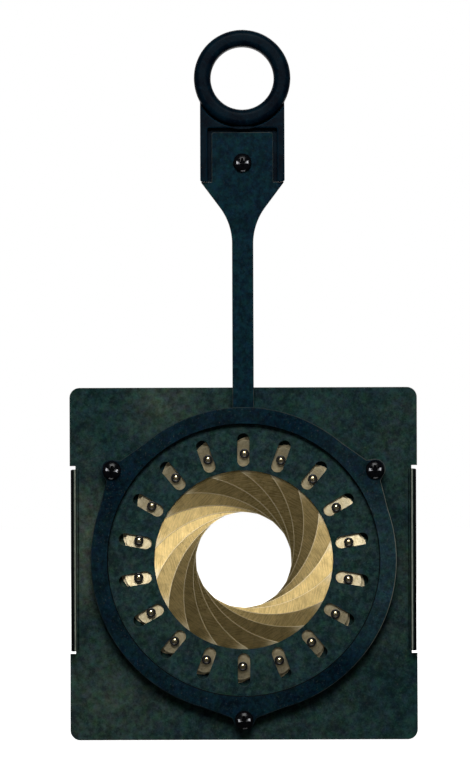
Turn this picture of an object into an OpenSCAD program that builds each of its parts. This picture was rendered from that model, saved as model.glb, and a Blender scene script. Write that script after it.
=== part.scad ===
// Drop-in iris diaphragm for a large beam: eighteen thin leaves, each pivoted
// on a carrier plate and led by a guide stud in a slotted cam ring. A lever
// with a moulded finger ring turns the cam ring, which opens and closes the
// leaves together. The optical axis lies along Y, the front faces -Y and the
// handle points up, +Z. The origin is on the optical axis, in the front face
// of the carrier plate.

/* [Carrier plate] */
// Width of the carrier plate
plate_w = 152.4; // [150:0.2:170]
// Height of the carrier plate
plate_h = 154.6; // [152:0.2:170]
// Thickness of the plate and of its folded flanges
plate_t = 2.2; // [1.5:0.1:2.5]
// Radius of the plate's corners
plate_corner = 4.4; // [1:0.2:8]
// Height of the optical axis above the middle of the plate
axis_rise = 1.8; // [0:0.1:2.4]
// How far the side flanges are folded forward
flange_h = 8; // [5:0.5:14]
// Length of each side flange
flange_l = 79.4; // [50:0.2:90]
// How far the flanges stand inside the plate's side edges
flange_inset = 0.7; // [0.2:0.1:1]
// Inner radius of the fold
fold_r = 0.4; // [0.2:0.1:1.5]
// Width of the relief cut at each end of a flange
relief_w = 1.5; // [1:0.1:3]
// Depth of the relief cut from the plate's edge
relief_d = 2.5; // [1.5:0.1:3]
// Radius of the round hole behind the leaves
window_r = 39.6; // [38.6:0.1:41]

/* [Leaves] */
// Number of leaves
leaf_n = 18; // [18:1:18]
// Radius of the circle on which the leaves pivot
pivot_r = 50; // [49:0.1:50.5]
// Radius of the circle of guide studs in the modelled pose
guide_r = 46.6; // [46.2:0.1:47]
// Radius of the light opening in the modelled pose
aperture_r = 20.8; // [18:0.1:24]
// Radius of both studs about the leaf's arc centre
stud_arc_r = 54.7; // [54.4:0.1:55]
// Width of a leaf on the inner side of its studs
leaf_inner_w = 7.7; // [7.4:0.1:8]
// Width of a leaf on the outer side of its studs
leaf_outer_w = 3.8; // [3.4:0.1:4.2]
// Width outside the guide stud, where the leaf is broader
tab_outer_w = 5.9; // [4.8:0.1:6.1]
// Length over which the leaf broadens, as an angle
tab_run = 14; // [10:0.5:16]
// Length of the rounded tip beyond the pivot stud, as an angle
pivot_tip = 6.3; // [5.5:0.1:6.5]
// Length of the rounded tip beyond the guide stud, as an angle
guide_tip = 5.6; // [5:0.1:6]
// Sheet thickness of a leaf
leaf_t = 0.1; // [0.06:0.01:0.12]
// Radius of the light opening with the leaves closed
closed_r = 6; // [6:0.5:8]
// Clearance between the plate and the lowest leaf tip
leaf_lift = 0.25; // [0.15:0.05:0.4]
// Rise of a leaf for each degree about its own arc centre
rise_own = 0.004; // [0.003:0.0005:0.005]
// Rise of a leaf for each degree about the closed optical axis
rise_axis = 0.01; // [0.0095:0.0005:0.0105]

/* [Leaf studs] */
// Diameter of the pivot stud in the carrier plate
pivot_stud_d = 3; // [2.6:0.1:3.4]
// Diameter of the guide stud in the cam ring slot
guide_stud_d = 3.2; // [2.8:0.1:3.2]
// Diameter of the guide stud's head in front of the cam ring
guide_head_d = 4.2; // [3.6:0.1:4.4]
// Height of the guide stud's head
guide_head_h = 0.5; // [0.3:0.1:0.7]
// Diameter of the neck that is riveted through the leaf
stud_neck_d = 2; // [1.6:0.1:2.2]
// Bore in the front end of the guide stud
guide_bore_d = 2.4; // [1.4:0.1:2.4]
// Depth of that bore
guide_bore_h = 1.2; // [0.6:0.1:1.6]
// How far the guide studs sit clockwise of their slots' middle lines
stud_lag = 0.5; // [0.4:0.05:0.6]
// Running clearance of the pivot stud, on the radius
pivot_clear = 0.05; // [0.03:0.01:0.09]

/* [Cam ring] */
// Thickness of the cam ring
cam_t = 1.2; // [1:0.1:1.3]
// Radius of the cam ring's round opening
cam_in = 39.1; // [38.6:0.1:39.2]
// Running clearance between cam ring and housing, on the radius
cam_clear = 0.08; // [0.05:0.01:0.1]
// Clearance between the leaf stack and the cam ring
cam_gap = 0.25; // [0.2:0.05:0.35]
// Width of the guide slots
slot_w = 5.3; // [5.2:0.05:5.5]
// Radius at which a slot starts
slot_in = 40.9; // [40.4:0.1:41.4]
// Radius at which a slot ends
slot_out = 55.4; // [55.4:0.1:56]

/* [Housing ring] */
// Radius of the round opening in the housing's lip
lip_in = 59.4; // [58.6:0.1:59.8]
// Outer radius of the lip
lip_out = 66.9; // [66.7:0.1:67.4]
// Thickness of the lip
lip_t = 1.2; // [1:0.1:1.4]
// Outer radius of the wall below the lip
wall_out = 65.9; // [65.8:0.1:66]
// Thickness of the wall
wall_t = 1.2; // [1:0.1:1.3]
// Clearance of the lever in the wall's window, on each side
window_clear = 1; // [0.8:0.1:2]
// Width of the inner shoulder that stiffens the wall below the lip
shoulder_w = 2.2; // [1.5:0.1:2.4]
// Radius of the circle of housing screws
screw_r = 69.8; // [69.6:0.1:70.2]
// Radius of the ear around each screw
ear_r = 4.6; // [4.3:0.1:5]
// Half width of an ear where it joins the lip
ear_flare = 22; // [18:0.5:24]
// Half width of an ear beside its screw
ear_half = 5.5; // [5.2:0.1:6]
// Head diameter of the rivet in the lip
lip_rivet_d = 3; // [2.4:0.2:3.4]
// Radius at which that rivet sits, below the optical axis
lip_rivet_r = 61; // [60.9:0.1:62]

/* [Lever] */
// Width of the lever strip
lever_w = 9.3; // [8:0.1:9.4]
// Thickness of the lever
lever_t = 1.5; // [1.2:0.1:1.6]
// Swing of the lever to its open stop, on the right
swing_open = 43.4; // [40:0.2:43.4]
// Swing of the lever to its closed stop, on the left
swing_close = 34.6; // [30:0.2:34.6]
// Diameter of the rivets that hold the lever on the cam ring
lever_rivet_d = 2.4; // [2:0.1:2.6]
// Distance of each rivet from the lever's middle line
lever_rivet_x = 2.6; // [2.4:0.1:2.7]
// Height of the shoulders above the optical axis
shoulder_z = 165.3; // [150:0.5:180]
// Half width of the shoulders
shoulder_half = 18.2; // [16:0.1:18.4]
// Angle of the tapered sides below the shoulders
taper_angle = 36.8; // [30:0.2:40]
// Half width at which the taper blends into the neck
neck_half = 9.9; // [8:0.1:11]
// Width of the lever head in the handle
head_w = 26.9; // [20:0.1:27.4]
// Height of the lever head above the shoulders
head_l = 21.8; // [18:0.2:22.4]

/* [Handle] */
// Outer radius of the finger ring
ring_out = 21.1; // [19:0.1:23]
// Radius of the finger hole
ring_in = 13.8; // [12:0.1:14.5]
// Thickness of the finger ring, front to back
ring_t = 11; // [9:0.5:13]
// Rounding of the finger ring's edges
ring_round = 3; // [1.5:0.1:3.4]
// Height of the finger hole's centre above the optical axis
ring_z = 210.8; // [208:0.2:212]
// Width of the handle's block
grip_w = 36.9; // [36.8:0.1:40]
// Thickness of the handle's block
grip_t = 9.2; // [8.8:0.1:10]
// How far the block's face stands in front of the lever head
grip_proud = 2; // [1:0.1:2.6]
// Width of the groove around the lever head
groove_w = 1.8; // [0.6:0.1:2]
// Chamfer on the block's lower corners
grip_chamfer = 0.8; // [0.4:0.1:1.5]

/* [Screws] */
// Thread diameter of all screws
screw_d = 4; // [3:0.5:4]
// Diameter of the screw heads
screw_head_d = 8; // [7:0.1:8.2]
// Height of the screw heads
screw_head_h = 2.7; // [2.2:0.1:3]
// Width of the nuts across their flats
nut_af = 7; // [5.5:0.5:7]
// Thickness of the nuts
nut_h = 3.2; // [2.4:0.1:3.2]
// Outer diameter of the spacer sleeves
sleeve_d = 6.4; // [6:0.1:6.8]
// Clearance of a screw in its hole, on the radius
screw_clear = 0.15; // [0.1:0.05:0.25]

/* [Hidden] */
$fn = 64;
pitch = 360 / leaf_n;
first_slot = 10;
plate_steel = "#2b3334";
ring_steel = "#222b30";
bronze = "#a8875a";
lever_steel = "#2a3436";
bare_steel = "#6d6a62";
screw_black = "#17181a";
moulding = "#141516";

// A leaf is an arc about its own centre. Its angles run from the pivot stud at
// 0 to the guide stud at leaf_span, and its centre lies as far from the optical
// axis as the leaf's inner radius exceeds the opening.
function corner(near1, near2, far) =
    acos((pow(near1, 2) + pow(near2, 2) - pow(far, 2)) / (2 * near1 * near2));
leaf_in = stud_arc_r - leaf_inner_w;
leaf_out = stud_arc_r + leaf_outer_w;
tab_out = stud_arc_r + tab_outer_w;
centre_r = leaf_in - aperture_r;
leaf_turn = corner(pivot_r, stud_arc_r, centre_r);
closed_turn = corner(pivot_r, stud_arc_r, leaf_in - closed_r);
pivot_to_guide = corner(pivot_r, centre_r, stud_arc_r)
    + corner(guide_r, centre_r, stud_arc_r);
pivot_guide_far = sqrt(pow(pivot_r, 2) + pow(guide_r, 2)
    - 2 * pivot_r * guide_r * cos(pivot_to_guide));
leaf_span = 2 * asin(pivot_guide_far / 2 / stud_arc_r);
first_pivot = first_slot + pivot_to_guide - asin(stud_lag / guide_r);

// Place of the optical axis on the leaf when the leaves are closed
axis_x = stud_arc_r - pivot_r * cos(closed_turn);
axis_y = pivot_r * sin(closed_turn);
axis_r = norm([axis_x, axis_y]);
axis_a = atan2(axis_y, axis_x);

// Stations along the leaf, closer together where it passes near that place
leaf_rows = [-1, -0.76, -0.16, 1];
tip_steps = [1, 0.93, 0.75, 0.45];
leaf_step = 8;
fine_step = 2.5;
fine_half = 14;
tab_from = leaf_span - tab_run;
leaf_angles = concat(
    [for (u = tip_steps) -u * pivot_tip],
    [for (a = [0:leaf_step:axis_a - fine_half - 3]) a],
    [for (a = [axis_a - fine_half:fine_step:axis_a + fine_half]) a],
    [for (a = [axis_a + fine_half + leaf_step:leaf_step:tab_from - 2]) a],
    [for (u = [0:0.25:1]) tab_from + u * tab_run],
    [for (i = [3:-1:0]) leaf_span + tip_steps[i] * guide_tip]
);
tip_least = 0.06;
tip_mid = (leaf_in + tab_out) / 2;
function arch(u) = max(sqrt(max(1 - u * u, 0)), tip_least);
function row(low, high, v) = (low + high) / 2 + v * (high - low) / 2;
function bulge(a) =
    leaf_out + (tab_out - leaf_out) * (1 + cos(180 * (leaf_span - a) / tab_run)) / 2;
function row_r(a, v) =
    a < 0 ? row(leaf_in, leaf_out, v * arch(-a / pivot_tip))
    : a <= tab_from ? row(leaf_in, leaf_out, v)
    : a <= leaf_span ? row(leaf_in, bulge(a), v)
    : tip_mid + v * (tab_out - tip_mid) * arch((a - leaf_span) / guide_tip);

// The height rises along the leaf, so that it lies over the next leaf on one
// side and under the last one on the other.
function about_axis(a, r) =
    atan2(r * sin(a - axis_a), r * cos(a - axis_a) - axis_r) + axis_a;
function rise(a, r) = rise_own * a + rise_axis * about_axis(a, r);
edge_rises = [for (a = leaf_angles, v = leaf_rows) rise(a, row_r(a, v))];
leaf_z = leaf_lift - min(edge_rises);
function leaf_rise(a, r) = rise(a, r) + leaf_z;
function leaf_point(a, v, up) =
    let (r = row_r(a, v)) [r * cos(a), r * sin(a), leaf_rise(a, r) + up];

// Levels, measured forward from the front face of the carrier plate
lip_gap = 0.2;
cam_z = leaf_z + max(edge_rises) + leaf_t + cam_gap;
lever_z = cam_z + cam_t;
lip_z = lever_z + lever_t + lip_gap;
lip_top = lip_z + lip_t;
head_z = cam_z + cam_t + 0.1;
stud_top = head_z + guide_head_h;

wall_in = wall_out - wall_t;
cam_out = wall_in - cam_clear;
shoulder_in = wall_in - shoulder_w;
shoulder_low = lever_z + lip_gap / 2;
lever_half = asin(lever_w / 2 / wall_in) + window_clear;
open_side = swing_open + lever_half;
close_side = swing_close + lever_half;
fold_out = fold_r + plate_t;
flange_outer = plate_w / 2 - flange_inset;
ear_angles = [34.5, 145.5, 270];
lever_foot = lip_in + 0.5;
rivet_r = lever_foot + lever_rivet_d - 0.1;
rivet_head_d = lever_rivet_d + 1.4;
neck_arc = (neck_half - lever_w / 2) / (1 - cos(taper_angle));
taper_z = shoulder_z - (shoulder_half - neck_half) / tan(taper_angle);
grip_front = lever_z + lever_t + grip_proud;
grip_back = grip_front - grip_t;
ring_mid = grip_front + 0.8 - ring_t / 2;
grip_low = shoulder_z + 0.1;
handle_screw_z = 173.8;
nut_pocket = nut_h + 0.1;

module upright() rotate([90, 0, 0]) children();

module leaf_place(k)
    rotate(first_pivot + pitch * (k - 1)) translate([pivot_r, 0, 0])
        rotate(leaf_turn) translate([-stud_arc_r, 0, 0]) children();

module rounded_square(w, h, r) {
    square([w - 2 * r, h], center = true);
    square([w, h - 2 * r], center = true);
    for (x = [-1, 1], y = [-1, 1])
        translate([x * (w / 2 - r), y * (h / 2 - r)]) circle(r);
}

// Washer-like disc between two levels
module disc(r, low, high) translate([0, 0, low]) cylinder(r = r, h = high - low);

module at_ears() for (a = ear_angles) rotate(a) translate([screw_r, 0, 0]) children();

// Pan-head screw with a cross recess, its seat at z = 0 and its shank down
module pan_screw(length) {
    dome_r = 7.5;
    edge_h = screw_head_h * 0.45;
    difference() {
        union() {
            translate([0, 0, -length]) cylinder(d = screw_d, h = length + 0.5);
            cylinder(d = screw_head_d, h = edge_h);
            intersection() {
                translate([0, 0, screw_head_h - dome_r]) sphere(dome_r);
                cylinder(d = screw_head_d, h = screw_head_h);
            }
        }
        for (a = [0, 90])
            rotate(a) translate([-2.1, -0.5, screw_head_h - 1.7]) cube([4.2, 1, 3]);
    }
}

module hex_nut() difference() {
    cylinder(d = nut_af / cos(30), h = nut_h, $fn = 6);
    translate([0, 0, -1]) cylinder(d = screw_d, h = nut_h + 2);
}

// Section of a folded flange, seen along its length
module flange_profile(side) mirror([side < 0 ? 1 : 0, 0, 0])
    translate([flange_outer - fold_out, 0]) {
        intersection() {
            translate([0, fold_r]) difference() {
                circle(fold_out);
                circle(fold_r);
            }
            translate([0, -plate_t]) square([fold_out, fold_out]);
        }
        translate([fold_r, fold_r]) square([plate_t, flange_h - fold_r]);
    }

module carrier_plate() color(plate_steel) upright() {
    difference() {
        translate([0, -axis_rise, -plate_t]) linear_extrude(plate_t)
            rounded_square(plate_w, plate_h, plate_corner);
        disc(window_r, -plate_t - 1, 1);
        for (k = [1:leaf_n]) leaf_place(k) translate([stud_arc_r, 0, 0])
            disc(pivot_stud_d / 2 + pivot_clear, -plate_t - 1, 1);
        at_ears() disc(screw_d / 2 + screw_clear, -plate_t - 1, 1);
        for (s = [-1, 1]) translate([s * plate_w / 2, 0, 0]) {
            cube([2 * (flange_inset + fold_out), flange_l, 3 * plate_t], center = true);
            cube([2 * relief_d, flange_l + 2 * relief_w, 3 * plate_t], center = true);
        }
    }
    for (s = [-1, 1]) rotate([90, 0, 0]) translate([0, 0, -flange_l / 2])
        linear_extrude(flange_l) flange_profile(s);
}

module leaf_sheet() {
    n = len(leaf_angles);
    m = len(leaf_rows);
    points = [for (up = [0, leaf_t], a = leaf_angles, v = leaf_rows) leaf_point(a, v, up)];
    top = n * m;
    faces = concat(
        [for (i = [0:n - 2], j = [0:m - 2])
            let (p = i * m + j) each [[p, p + m, p + m + 1], [p, p + m + 1, p + 1]]],
        [for (i = [0:n - 2], j = [0:m - 2])
            let (p = top + i * m + j) each [[p, p + m + 1, p + m], [p, p + 1, p + m + 1]]],
        [for (i = [0:n - 2], e = [0, 1])
            let (p = i * m + e * (m - 1), q = p + m)
            each e == 0 ? [[p, top + p, top + q], [p, top + q, q]]
                        : [[p, top + q, top + p], [p, q, top + q]]],
        [for (j = [0:m - 2], e = [0, 1])
            let (p = e * (n - 1) * m + j, q = p + 1)
            each e == 0 ? [[p, q, top + q], [p, top + q, top + p]]
                        : [[p, top + q, q], [p, top + p, top + q]]]
    );
    polyhedron(points, faces);
}

// One leaf, a thin arc with a riveting hole near each end
module leaf(k) color(bronze) upright() leaf_place(k) difference() {
    leaf_sheet();
    for (a = [0, leaf_span]) rotate(a) translate([stud_arc_r, 0, -1])
        cylinder(d = stud_neck_d, h = cam_z + 2);
}

// The two studs of a leaf: a plain pivot behind it, and a guide in front of it
// with a hollow head that stands before the cam ring
module leaf_studs(k) color(bare_steel) upright() leaf_place(k) {
    low = leaf_rise(0, stud_arc_r);
    high = leaf_rise(leaf_span, stud_arc_r);
    ease = 0.03;
    translate([stud_arc_r, 0, 0]) {
        disc(pivot_stud_d / 2, 0.1 - plate_t, low - ease);
        disc(stud_neck_d / 2, low - 2 * ease, low + leaf_t - ease / 2);
    }
    rotate(leaf_span) translate([stud_arc_r, 0, 0]) difference() {
        union() {
            disc(guide_stud_d / 2, high + leaf_t + ease, stud_top);
            disc(guide_head_d / 2, head_z, stud_top);
            disc(stud_neck_d / 2, high + ease / 2, high + leaf_t + 2 * ease);
        }
        disc(guide_bore_d / 2, stud_top - guide_bore_h, stud_top + 1);
    }
}

module guide_slot() {
    r = slot_w / 2;
    translate([slot_in + r, -r]) square([slot_out - slot_in - 2 * r, slot_w]);
    translate([slot_in + r, 0]) circle(r);
    translate([slot_out - r, 0]) circle(r);
}

module cam_ring() color(ring_steel) upright() difference() {
    translate([0, 0, cam_z]) linear_extrude(cam_t) difference() {
        circle(cam_out);
        circle(cam_in);
        for (k = [1:leaf_n]) rotate(first_slot + pitch * (k - 1)) guide_slot();
    }
    for (s = [-1, 1]) translate([s * lever_rivet_x, rivet_r, 0])
        disc(lever_rivet_d / 2, cam_z - 1, lever_z + 1);
}

module ear() {
    base = sqrt(pow(lip_out, 2) - pow(ear_flare, 2)) - 0.25;
    translate([screw_r, 0]) circle(ear_r);
    side = [for (s = [-1, 1]) [[base, s * ear_flare], [screw_r - ear_r / 6, s * ear_half],
        [screw_r + 0.45 * ear_r, s * 0.86 * ear_r]]];
    polygon(concat([[(lip_in + lip_out) / 2, 0]], side[0],
        [for (i = [2:-1:0]) side[1][i]]));
}

// The lip carries the ears, and the wall below it leaves a window for the lever
module housing_ring() color(ring_steel) upright() difference() {
    union() {
        translate([0, 0, lip_z]) linear_extrude(lip_t) difference() {
            union() {
                circle(lip_out);
                for (a = ear_angles) rotate(a) ear();
            }
            circle(lip_in);
        }
        rotate(90 + close_side) rotate_extrude(angle = 360 - open_side - close_side)
            polygon([[wall_in, 0], [wall_out, 0], [wall_out, lip_z + lip_t / 2],
                [shoulder_in, lip_z + lip_t / 2], [shoulder_in, shoulder_low],
                [wall_in, shoulder_low]]);
    }
    at_ears() disc(screw_d / 2 + screw_clear, lip_z - 1, lip_top + 1);
    translate([0, -lip_rivet_r, 0]) disc(lip_rivet_d / 2 - 0.5, lip_z - 1, lip_top + 1);
}

module lip_rivet() color(screw_black) upright() translate([0, -lip_rivet_r, 0]) {
    disc(lip_rivet_d / 2 - 0.5, lip_z, lip_top + 0.2);
    disc(lip_rivet_d / 2, lip_top, lip_top + 0.4);
}

module housing_spacers() color(ring_steel) upright() at_ears() difference() {
    disc(sleeve_d / 2, 0, lip_z);
    disc(screw_d / 2 + screw_clear, -1, lip_z + 1);
}

module housing_screws() color(screw_black) upright() at_ears()
    translate([0, 0, lip_top]) pan_screw(lip_top + plate_t + nut_h + 0.6);

module housing_nuts() color(bare_steel) upright() at_ears()
    translate([0, 0, -plate_t - nut_h]) hex_nut();

// Outline of the lever, from its foot on the cam ring to its head
module lever_outline() {
    half = lever_w / 2;
    arc = [for (i = [0:8]) let (a = taper_angle * i / 8)
        [half + neck_arc * (1 - cos(a)),
         taper_z - neck_arc * (sin(taper_angle) - sin(a))]];
    right = concat(
        [[half, lever_foot + half]],
        arc,
        [[shoulder_half, shoulder_z], [head_w / 2, shoulder_z]]
    );
    n = len(right);
    polygon(concat(right, [for (i = [n - 1:-1:0]) [-right[i].x, right[i].y]]));
    translate([-half, lever_foot + 1]) square([lever_w, half]);
    translate([1 - half, lever_foot]) square([lever_w - 2, 2]);
    for (s = [-1, 1]) translate([s * (half - 1), lever_foot + 1]) circle(1);
    translate([0, shoulder_z + head_l / 2 - 1])
        rounded_square(head_w, head_l + 2, 1);
}

module lever() color(lever_steel) upright() difference() {
    translate([0, 0, lever_z]) linear_extrude(lever_t) lever_outline();
    translate([0, handle_screw_z, 0])
        disc(screw_d / 2 + screw_clear, lever_z - 1, grip_front);
    for (s = [-1, 1]) translate([s * lever_rivet_x, rivet_r, 0]) rivet_body(0.1);
}

// Countersunk rivet through the lever's foot and the cam ring
module rivet_body(over) {
    disc(lever_rivet_d / 2, cam_z - over, lever_z + lever_t + over);
    sink = (rivet_head_d - lever_rivet_d) / 2;
    translate([0, 0, lever_z + lever_t - sink])
        cylinder(d1 = lever_rivet_d, d2 = rivet_head_d, h = sink);
}

module lever_rivets() color(screw_black) upright() for (s = [-1, 1])
    translate([s * lever_rivet_x, rivet_r, 0]) rivet_body(0);

module ring_section() translate([ring_out, ring_mid])
    translate([(ring_in - ring_out) / 2, 0])
        rounded_square(ring_out - ring_in, ring_t, ring_round);

// Moulded handle: a finger ring on a block that holds the lever's head
module handle() color(moulding) upright() {
    pocket_w = head_w + 2 * groove_w;
    pocket_top = shoulder_z + head_l + groove_w;
    difference() {
        union() {
            translate([0, ring_z, 0]) rotate_extrude() ring_section();
            translate([0, 0, grip_back]) linear_extrude(grip_t) polygon([
                [-grip_w / 2, ring_z - 8], [grip_w / 2, ring_z - 8],
                [grip_w / 2, grip_low + grip_chamfer],
                [grip_w / 2 - grip_chamfer, grip_low],
                [grip_chamfer - grip_w / 2, grip_low],
                [-grip_w / 2, grip_low + grip_chamfer]]);
        }
        translate([0, ring_z, 0])
            disc(ring_in + ring_round, grip_back - 5, ring_mid - ring_t / 2 + ring_round);
        translate([0, ring_z, 0]) disc(ring_in, grip_back - 5, grip_front + 5);
        translate([-pocket_w / 2, grip_low - 1, lever_z])
            cube([pocket_w, pocket_top - grip_low + 1, grip_t]);
        translate([0, handle_screw_z, 0]) {
            disc(screw_d / 2 + screw_clear, grip_back - 1, grip_front);
            translate([0, 0, grip_back - 1])
                cylinder(d = nut_af / cos(30) + 0.2, h = nut_pocket + 1, $fn = 6);
        }
    }
}

module handle_screw() color(screw_black) upright()
    translate([0, handle_screw_z, lever_z + lever_t])
        pan_screw(lever_z + lever_t - grip_back - 0.4);

module handle_nut() color(bare_steel) upright()
    translate([0, handle_screw_z, grip_back + nut_pocket - nut_h]) hex_nut();

carrier_plate();
cam_ring();
housing_ring();
lip_rivet();
housing_spacers();
housing_screws();
housing_nuts();
lever();
lever_rivets();
handle();
handle_screw();
handle_nut();
leaf(1);  // leaf_01
leaf(2);  // leaf_02
leaf(3);  // leaf_03
leaf(4);  // leaf_04
leaf(5);  // leaf_05
leaf(6);  // leaf_06
leaf(7);  // leaf_07
leaf(8);  // leaf_08
leaf(9);  // leaf_09
leaf(10);  // leaf_10
leaf(11);  // leaf_11
leaf(12);  // leaf_12
leaf(13);  // leaf_13
leaf(14);  // leaf_14
leaf(15);  // leaf_15
leaf(16);  // leaf_16
leaf(17);  // leaf_17
leaf(18);  // leaf_18
leaf_studs(1);  // leaf_studs_01
leaf_studs(2);  // leaf_studs_02
leaf_studs(3);  // leaf_studs_03
leaf_studs(4);  // leaf_studs_04
leaf_studs(5);  // leaf_studs_05
leaf_studs(6);  // leaf_studs_06
leaf_studs(7);  // leaf_studs_07
leaf_studs(8);  // leaf_studs_08
leaf_studs(9);  // leaf_studs_09
leaf_studs(10);  // leaf_studs_10
leaf_studs(11);  // leaf_studs_11
leaf_studs(12);  // leaf_studs_12
leaf_studs(13);  // leaf_studs_13
leaf_studs(14);  // leaf_studs_14
leaf_studs(15);  // leaf_studs_15
leaf_studs(16);  // leaf_studs_16
leaf_studs(17);  // leaf_studs_17
leaf_studs(18);  // leaf_studs_18
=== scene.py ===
"""Looks of the iris diaphragm. Plan coordinates are millimetres: x right, y up, z towards the viewer."""

import math

import bmesh
import bpy
import numpy as np
from mathutils import Matrix, Vector
from mathutils.geometry import tessellate_polygon

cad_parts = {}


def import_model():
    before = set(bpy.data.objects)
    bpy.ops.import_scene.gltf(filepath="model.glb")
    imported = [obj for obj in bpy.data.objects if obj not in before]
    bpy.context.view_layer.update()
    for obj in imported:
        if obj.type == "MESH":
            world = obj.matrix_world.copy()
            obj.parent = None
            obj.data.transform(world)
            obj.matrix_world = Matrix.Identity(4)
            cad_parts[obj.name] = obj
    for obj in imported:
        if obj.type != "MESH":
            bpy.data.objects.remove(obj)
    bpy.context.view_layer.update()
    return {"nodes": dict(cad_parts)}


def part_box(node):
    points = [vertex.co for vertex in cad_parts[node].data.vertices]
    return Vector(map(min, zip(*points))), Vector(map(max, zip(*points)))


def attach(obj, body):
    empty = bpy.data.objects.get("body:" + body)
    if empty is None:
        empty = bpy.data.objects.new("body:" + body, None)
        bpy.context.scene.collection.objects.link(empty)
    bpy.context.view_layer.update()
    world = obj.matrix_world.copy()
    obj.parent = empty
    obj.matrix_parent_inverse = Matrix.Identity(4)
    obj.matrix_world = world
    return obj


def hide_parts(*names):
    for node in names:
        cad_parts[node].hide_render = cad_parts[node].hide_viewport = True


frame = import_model()

# ---------------------------------------------------------------- sizes, as in the CAD part
# carrier plate, its flanges and its window
PLATE_W, PLATE_H, PLATE_T, CORNER, RISE = 152.4, 154.6, 2.2, 4.4, 1.8
FLANGE_H, FLANGE_L, INSET, FOLD_R, RELIEF_W, RELIEF_D = 8.0, 79.4, 0.7, 0.4, 1.5, 2.5
WINDOW_R = 39.6
# leaves: circles of the studs, outline from the leaf's own arc centre, tips, thickness and rise
PIVOT_R, GUIDE_R, APERTURE_R, CLOSED_R = 50.0, 46.6, 20.8, 6.0
LEAF_IN, LEAF_OUT, STUD_ARC, TAB_OUT, TAB_RUN = 47.0, 58.5, 54.7, 60.6, 14.0
PIVOT_TIP, GUIDE_TIP, LEAF_T, LEAF_LIFT, RISE_OWN, RISE_AXIS = 6.3, 5.6, 0.1, 0.25, 0.004, 0.01
PIVOT_D, STUD_D, HEAD_D, HEAD_H, BORE_D, LAG = 3.0, 3.2, 4.2, 0.5, 2.4, 0.5
# cam ring and housing ring
CAM_T, CAM_IN, SLOT_W, SLOT_IN, SLOT_OUT = 1.2, 39.1, 5.3, 40.9, 55.4
LIP_IN, LIP_OUT, LIP_T, WALL_OUT, WALL_T = 59.4, 66.9, 1.2, 65.9, 1.2
SCREW_R, EAR_R, EAR_FLARE, EAR_HALF, EARS = 69.8, 4.6, 22.0, 5.5, (34.5, 145.5, 270.0)
# lever and handle
LEVER_W, LEVER_T, SHOULDER_Z, SHOULDER, TAPER, NECK = 9.3, 1.5, 165.3, 18.2, 36.8, 9.9
HEAD_W, HEAD_L = 26.9, 21.8
RING_OUT, RING_IN, RING_T, RING_Z = 21.1, 13.8, 11.0, 210.8
GRIP_W, GRIP_T, PROUD, GROOVE = 36.9, 9.2, 2.0, 1.8
SCREW_Z = 173.8
# pattern of the leaves, swing of the lever in degrees, fasteners and view
LEAVES, STEP, FIRST_SLOT = 18, 20, 10
SWING, LEVER_GAP = (-43.4, 34.6), 5.12
HOLE_R, SHANK_R, NUT_AF, NUT_H, LIP_RIVET_R = 2.15, 2.0, 7.0, 3.2, 61.0
VIEW_PX, MM_PER_PX = 779, 0.4387


def low_high(node):
    """Depth of a CAD node in plan coordinates, from back to front."""
    a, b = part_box(node)
    return -b.y * 1000, -a.y * 1000


CAM_Z = low_high("cam_ring")[0]
LEVER_Z = low_high("lever")[0]
LIP_Z = low_high("housing_spacers")[1]
LIP_TOP = LIP_Z + LIP_T
STUD_TOP = CAM_Z + CAM_T + 0.1 + HEAD_H
GRIP_FRONT = LEVER_Z + LEVER_T + PROUD
GRIP_BACK = GRIP_FRONT - GRIP_T
RING_MID = GRIP_FRONT + 0.8 - RING_T / 2


def turn(x, y, degrees):
    """Plan point turned about the optical axis."""
    c, s = math.cos(math.radians(degrees)), math.sin(math.radians(degrees))
    return x * c - y * s, x * s + y * c


def up(x, y, z):
    """Plan millimetres to the shared frame in metres."""
    return (x / 1000, -z / 1000, y / 1000)


def circle(r, cx=0.0, cy=0.0, n=64):
    return [(cx + r * math.cos(2 * math.pi * i / n), cy + r * math.sin(2 * math.pi * i / n))
            for i in range(n)]


def arc(r, a0, a1, n, cx=0.0, cy=0.0):
    """Points from angle a0 to a1 in degrees, both ends included."""
    return [(cx + r * math.cos(math.radians(a0 + (a1 - a0) * i / n)),
             cy + r * math.sin(math.radians(a0 + (a1 - a0) * i / n))) for i in range(n + 1)]


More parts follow.
